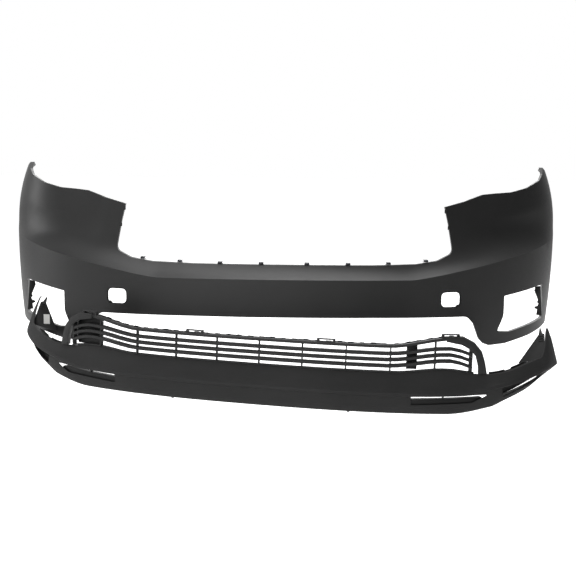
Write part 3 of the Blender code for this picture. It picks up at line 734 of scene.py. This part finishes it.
def build_wing_flanges():
    """The dark slotted flange along the top edge of each wing."""
    first, last = LOWER_PLAN.arc_at_x(0.752), LOWER_PLAN.arc_at_y(0.235)
    for side in (-1, 1):
        rows = []
        for share in (0.0, 1.0):
            row = []
            for s in np.arange(first, last, 0.0025):
                inset, top = lower_section(s)[0]
                beat = ((s - first) / 0.083) % 1.0
                tooth = 0.0060 if beat < 0.72 else 0.0015
                x, y = LOWER_PLAN.point(s, inset + 0.0005)
                row.append((side * x, y, top - 0.008 + share * (0.008 + tooth)))
            rows.append(row)
        flange = thicken(sheet(side_name("wing_flange", side), rows), 0.0022 * side)
        smooth_shade(flange, 20)
        finish_piece(flange, LOWER_PLACE, BLACK, "lower")


# ---------------------------------------------------------------- small fittings
def refine(node, material, bevel=0.0006):
    """The CAD node's own shape with its flat faces joined and its edges rounded."""
    source = frame["nodes"][node]
    mesh = source.data.copy()
    bm = bmesh.new()
    bm.from_mesh(mesh)
    bmesh.ops.remove_doubles(bm, verts=bm.verts, dist=1e-6)
    bmesh.ops.dissolve_limit(bm, angle_limit=math.radians(0.6), verts=bm.verts, edges=bm.edges)
    bm.to_mesh(mesh)
    bm.free()
    obj = new_object("fine_" + node, mesh)
    soften(obj, bevel)
    return finish_piece(obj, Matrix.Identity(4), material, source["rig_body"], [node])


def build_fittings():
    for node in sorted(frame["nodes"]):
        if node in ("upper_cover", "lower_cover"):
            continue
        if node.startswith("edge_clip"):
            refine(node, STEEL, 0.0002)
        elif node == "part_label":
            refine(node, PAPER, 0.0001)
        elif node == "lower_grille":
            refine(node, GRILLE, 0.0010)
        else:
            refine(node, BLACK)


# ---------------------------------------------------------------- stage, light and camera
def area_light(name, place, aim, size, power):
    data = bpy.data.lights.new(name, "AREA")
    data.shape = "RECTANGLE"
    data.size, data.size_y = size
    data.energy = power
    light = bpy.data.objects.new(name, data)
    light.location = place
    light.visible_camera = False
    light.rotation_euler = (Vector(aim) - Vector(place)).to_track_quat("-Z", "Y").to_euler()
    bpy.context.scene.collection.objects.link(light)
    return light


def build_floor():
    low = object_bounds()[0].z - SLIDE_DROP - 0.002
    mesh = bpy.data.meshes.new("floor")
    bm = bmesh.new()
    bmesh.ops.create_grid(bm, x_segments=2, y_segments=2, size=60.0)
    bm.to_mesh(mesh)
    bm.free()
    material = bpy.data.materials.new("floor_paint")
    material.use_nodes = True
    shader = material.node_tree.nodes["Principled BSDF"]
    shader.inputs["Base Color"].default_value = (0.92, 0.92, 0.92, 1.0)
    shader.inputs["Roughness"].default_value = 0.9
    shader.inputs["Specular IOR Level"].default_value = 0.1
    shader.inputs["Emission Color"].default_value = (1.0, 1.0, 1.0, 1.0)
    path = material.node_tree.nodes.new("ShaderNodeLightPath")
    glow = material.node_tree.nodes.new("ShaderNodeMath")
    glow.operation = "MULTIPLY"
    glow.inputs[1].default_value = 0.62
    link_nodes(material.node_tree, path, "Is Camera Ray", glow, 0)
    link_nodes(material.node_tree, glow, "Value", shader, "Emission Strength")
    floor = new_object("floor", mesh, material)
    floor.location.z = low


def build_world():
    """White to the camera; the light it gives comes mostly from the left and from behind."""
    world = bpy.data.worlds.new("studio")
    bpy.context.scene.world = world
    world.use_nodes = True
    tree = world.node_tree
    seen = tree.nodes["Background"]
    seen.inputs["Color"].default_value = (1.0, 1.0, 1.0, 1.0)
    lighting = tree.nodes.new("ShaderNodeBackground")
    place = tree.nodes.new("ShaderNodeTexCoord")
    lean = tree.nodes.new("ShaderNodeVectorMath")
    lean.operation = "DOT_PRODUCT"
    lean.inputs[1].default_value = (-0.25, 0.34, 0.04)
    link_nodes(tree, place, "Generated", lean, 0)
    level_of = tree.nodes.new("ShaderNodeMath")
    level_of.operation = "ADD"
    level_of.inputs[1].default_value = 0.51
    link_nodes(tree, lean, "Value", level_of, 0)
    link_nodes(tree, level_of, "Value", lighting, "Strength")
    path = tree.nodes.new("ShaderNodeLightPath")
    mix = tree.nodes.new("ShaderNodeMixShader")
    link_nodes(tree, path, "Is Camera Ray", mix, "Fac")
    link_nodes(tree, lighting, "Background", mix, 1)
    link_nodes(tree, seen, "Background", mix, 2)
    link_nodes(tree, mix, "Shader", tree.nodes["World Output"], "Surface")


def build_lights():
    area_light("key", (-4.6, 0.2, 1.2), (-0.6, 0.2, 0.1), (1.2, 2.4), 38)
    area_light("top", (-0.4, 0.3, 3.4), (0.0, 0.0, 0.2), (4.0, 2.0), 80)
    area_light("front", (-1.6, -5.0, 1.6), (0.0, 0.0, 0.0), (3.0, 1.6), 130)
    area_light("back", (0.5, 4.5, 3.0), (0.0, 0.0, 0.1), (3.6, 1.6), 170)


def build_camera():
    bpy.context.scene.view_settings.view_transform = "Standard"
    data = bpy.data.cameras.new("camera")
    data.lens = 64.75
    data.sensor_width = 36.0
    camera = bpy.data.objects.new("camera", data)
    camera.location = (0.03687, -3.38161, 0.43512)
    camera.rotation_euler = [math.radians(angle) for angle in (83.18179, -0.64998, 0.45803)]
    bpy.context.scene.collection.objects.link(camera)
    bpy.context.scene.camera = camera


build_upper()
build_pad()
build_tow_rims()
build_ear_tabs()
build_lower()
build_clip_strip()
build_wing_flanges()
build_fittings()
build_floor()
build_world()
build_lights()
build_camera()
